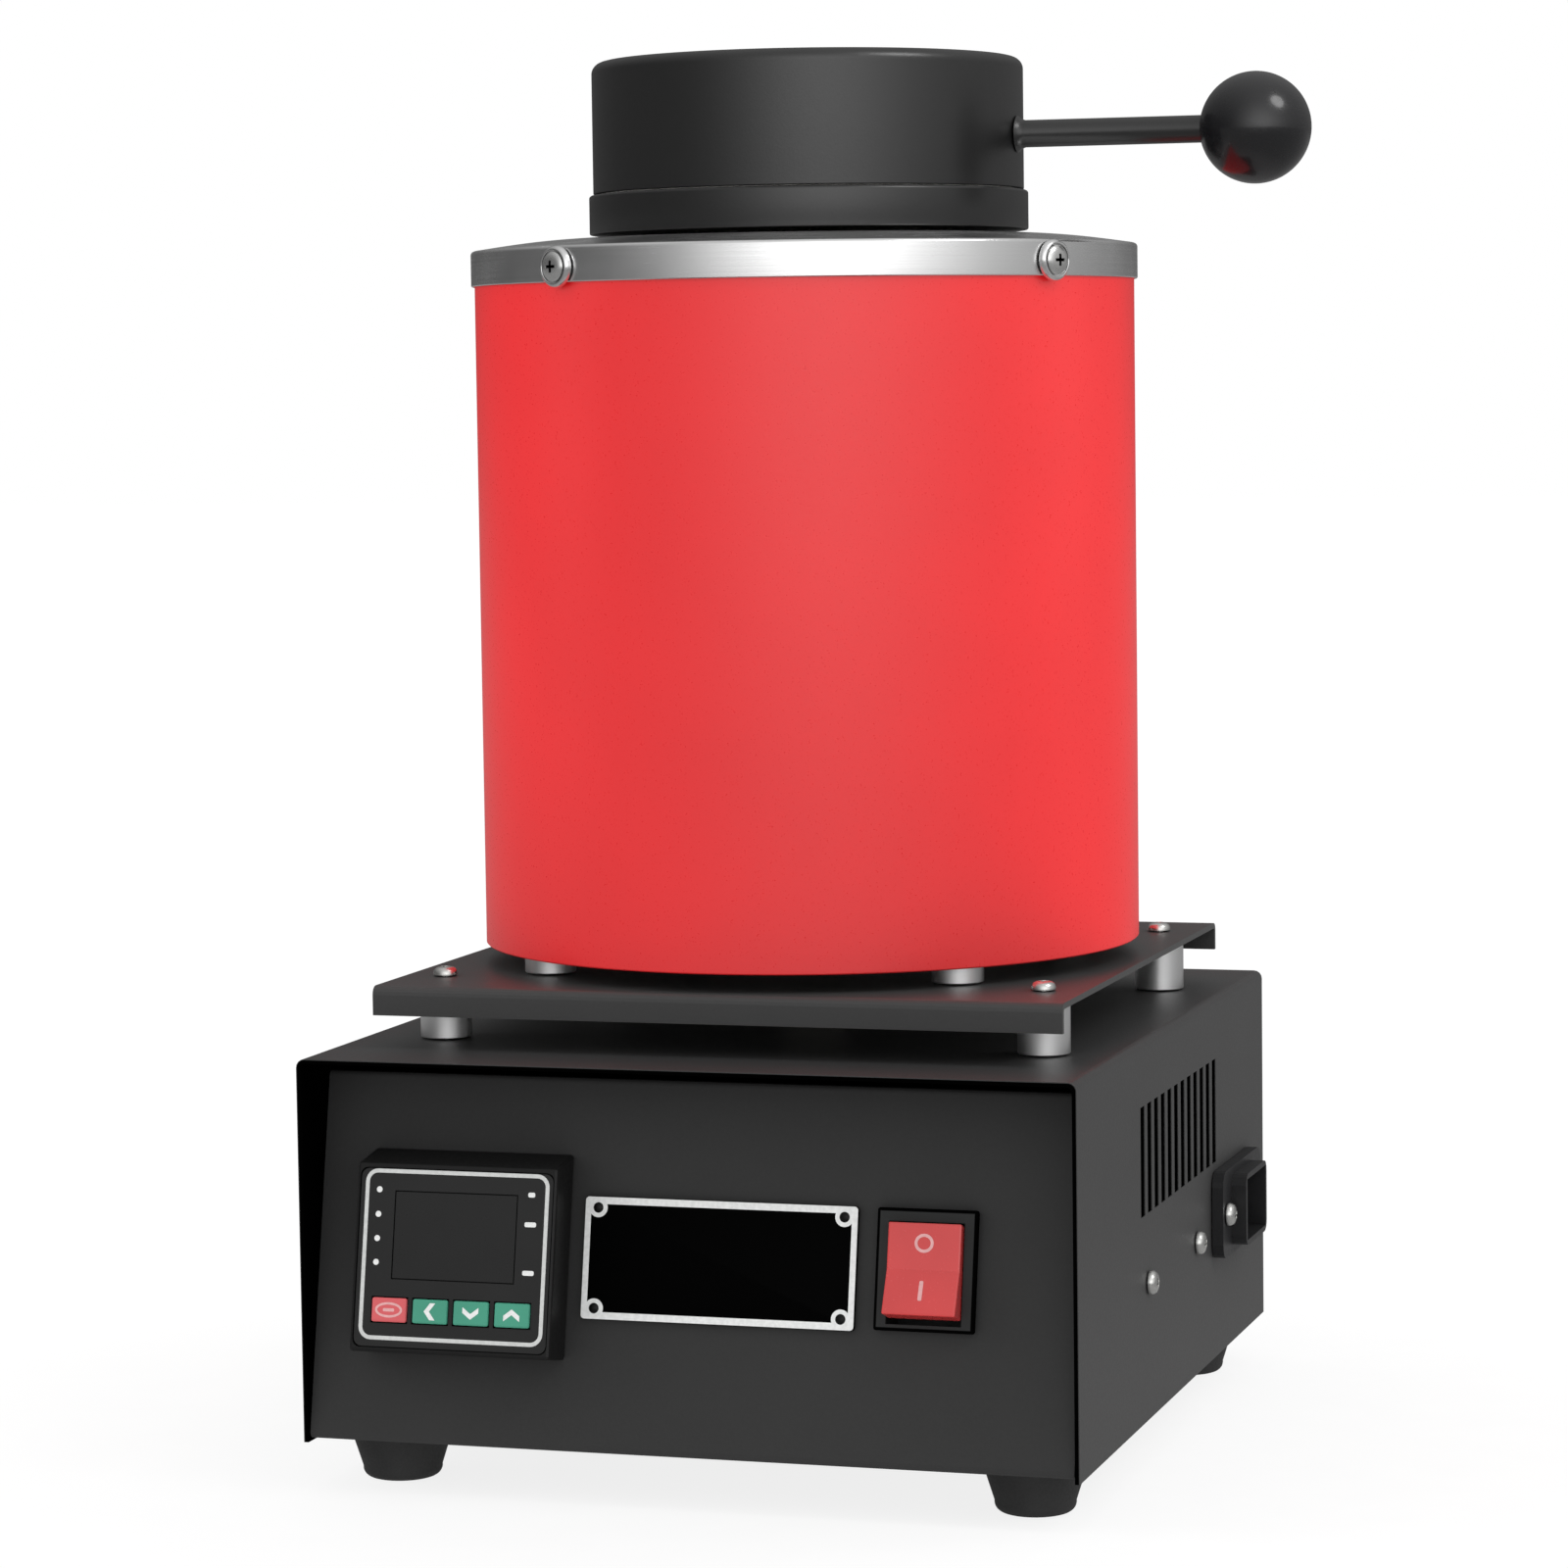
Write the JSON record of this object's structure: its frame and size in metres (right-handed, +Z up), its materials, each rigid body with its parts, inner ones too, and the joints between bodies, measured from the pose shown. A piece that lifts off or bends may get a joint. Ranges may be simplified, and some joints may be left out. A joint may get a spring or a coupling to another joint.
{
  "type": "electric gold melting furnace",
  "caption": "Bench melting furnace: control box with leaning front panel, red insulated barrel on a tray, and a round lid that swings aside by a rod with a ball knob.",
  "frame": {"origin": "centre of the bounding box at the feet's undersides", "axes": "+Z up, the front panel faces -Y, and the lid's rod and ball knob point to +X"},
  "size_m": [0.2362, 0.2282, 0.3593],
  "materials": {
    "black_paint": "fine-textured black powder paint",
    "tray_paint": "satin black paint",
    "lid_paint": "matte black heat paint",
    "red_powder_paint": "fine-textured red powder paint",
    "foot_rubber": "matte black rubber",
    "dark_plastic": "moulded, fine-grained",
    "face_plastic": "printed film, satin",
    "window_plastic": "dark smoked window",
    "key_red": "soft satin",
    "key_green": "soft satin",
    "plate_black": "satin black plate with a white printed border",
    "rocker_red": "moulded, glossy",
    "zinc_steel": "zinc-plated",
    "polished_steel": "polished stainless",
    "standoff_aluminium": "turned, satin",
    "relay_plastic": "moulded",
    "white_ceramic": "unglazed",
    "ceramic_fibre": "pressed fibre board, rough",
    "coil_wire": "oxidised resistance wire",
    "graphite": "turned graphite, dull",
    "gloss_black": "polished phenolic"
  },
  "bodies": {
    "root": {"cover": "black_paint", "chassis": "black_paint", "foot_front_left": "foot_rubber", "foot_front_right": "foot_rubber", "foot_back_left": "foot_rubber", "foot_back_right": "foot_rubber", "controller_housing": "dark_plastic", "controller_face": "face_plastic", "display_window": "window_plastic", "nameplate": "plate_black", "switch_body": "dark_plastic", "inlet_socket": "dark_plastic", "relay_screw_front": "zinc_steel", "relay_screw_back": "zinc_steel", "inlet_screw_front": "zinc_steel", "inlet_screw_back": "zinc_steel", "solid_state_relay": "relay_plastic", "terminal_block": "white_ceramic", "tray": "tray_paint", "lower_standoff_front_left": "standoff_aluminium", "lower_standoff_front_right": "standoff_aluminium", "lower_standoff_back_left": "standoff_aluminium", "lower_standoff_back_right": "standoff_aluminium", "upper_standoff_front_left": "standoff_aluminium", "upper_standoff_front_right": "standoff_aluminium", "upper_standoff_back_left": "standoff_aluminium", "upper_standoff_back_right": "standoff_aluminium", "tray_screw_front_left": "zinc_steel", "tray_screw_front_right": "zinc_steel", "tray_screw_back_left": "zinc_steel", "tray_screw_back_right": "zinc_steel", "barrel_shell": "red_powder_paint", "barrel_floor": "zinc_steel", "insulation_floor": "ceramic_fibre", "insulation_sleeve": "ceramic_fibre", "muffle": "white_ceramic", "heating_coil": "coil_wire", "crucible": "graphite", "thermocouple": "zinc_steel", "lead_sleeve": "white_ceramic", "top_cap": "polished_steel", "cup_washer_1": "polished_steel", "cup_washer_2": "polished_steel", "cup_washer_3": "polished_steel", "cup_washer_4": "polished_steel", "cap_screw_1": "zinc_steel", "cap_screw_2": "zinc_steel", "cap_screw_3": "zinc_steel", "cap_screw_4": "zinc_steel", "pivot_bolt": "zinc_steel"},
    "lid": {"lid_flange": "lid_paint", "lid_shell": "lid_paint", "lid_insulation": "ceramic_fibre", "handle_rod": "lid_paint", "ball_knob": "gloss_black"},
    "rocker": {"switch_rocker": "rocker_red"},
    "set_key": {"key_set": "key_red"},
    "left_key": {"key_left": "key_green"},
    "down_key": {"key_down": "key_green"},
    "up_key": {"key_up": "key_green"}
  },
  "joints": [
    {"name": "lid_swing", "type": "hinge", "parent": "root", "child": "lid", "pos_m": [-0.01475, 0.05228, 0.3178], "axis": [0, 0, -1], "range_deg": [0, 160]},
    {"name": "rocker_tilt", "type": "hinge", "parent": "root", "child": "rocker", "pos_m": [0.04215, -0.09646, 0.06001], "axis": [1, 0, 0], "range_deg": [0, 18]},
    {"name": "set_key_press", "type": "slide", "parent": "root", "child": "set_key", "axis": [0, 0.9806, -0.1961], "range_m": [0, 0.0006], "stiffness_N_per_m": 1500},
    {"name": "left_key_press", "type": "slide", "parent": "root", "child": "left_key", "axis": [0, 0.9806, -0.1961], "range_m": [0, 0.0006], "stiffness_N_per_m": 1500},
    {"name": "down_key_press", "type": "slide", "parent": "root", "child": "down_key", "axis": [0, 0.9806, -0.1961], "range_m": [0, 0.0006], "stiffness_N_per_m": 1500},
    {"name": "up_key_press", "type": "slide", "parent": "root", "child": "up_key", "axis": [0, 0.9806, -0.1961], "range_m": [0, 0.0006], "stiffness_N_per_m": 1500}
  ]
}
